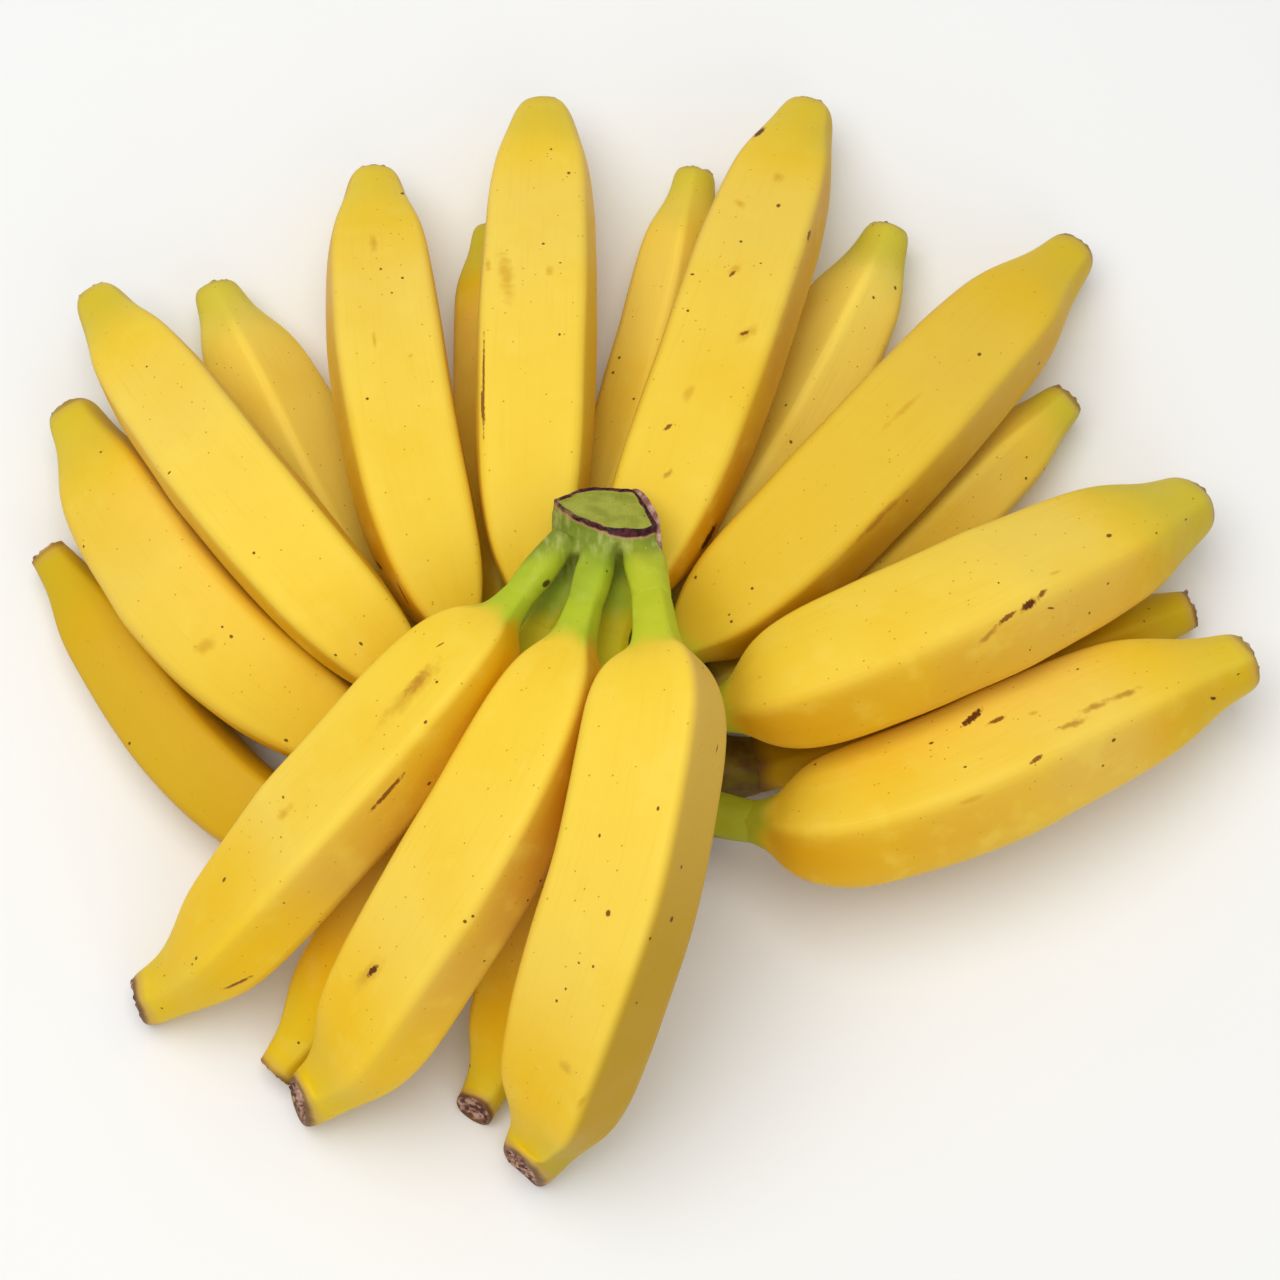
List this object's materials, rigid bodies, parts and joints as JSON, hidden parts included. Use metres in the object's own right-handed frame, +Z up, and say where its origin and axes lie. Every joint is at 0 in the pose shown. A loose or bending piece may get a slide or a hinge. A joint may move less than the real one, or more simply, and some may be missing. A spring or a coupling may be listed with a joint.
{
  "type": "bunch of bananas",
  "caption": "Bunch of ripe yellow bananas lying on a table: a large fanned hand with a small cut hand lying across its crown.",
  "frame": {"origin": "on the table, under the middle of the bunch's bounding box", "axes": "+Z up from the table; +Y the way the middle fruits of the large hand reach, away from the small hand's tips; +X to the right, seen from the small hand's tips"},
  "size_m": [0.3691, 0.3489, 0.1133],
  "materials": {
    "banana_skin": "smooth waxy skin, satin, greener at neck and tip, with small brown specks",
    "green_stem": "fibrous green stem, matt where cut, with a dried brown rim"
  },
  "bodies": {
    "root": {"banana_far_left": "banana_skin", "banana_left_outer": "banana_skin", "banana_left_inner": "banana_skin", "banana_top_left": "banana_skin", "banana_top": "banana_skin", "banana_top_right": "banana_skin", "banana_right_inner": "banana_skin", "banana_right_outer": "banana_skin", "banana_far_right": "banana_skin", "banana_back_left": "banana_skin", "banana_back_top_left": "banana_skin", "banana_back_top": "banana_skin", "banana_back_top_right": "banana_skin", "banana_back_right": "banana_skin", "banana_back_far_right": "banana_skin", "banana_small_left": "banana_skin", "banana_small_middle": "banana_skin", "banana_small_right": "banana_skin", "banana_small_under_left": "banana_skin", "banana_small_under_right": "banana_skin", "crown_large": "green_stem", "crown_small": "green_stem"}
  },
  "joints": []
}
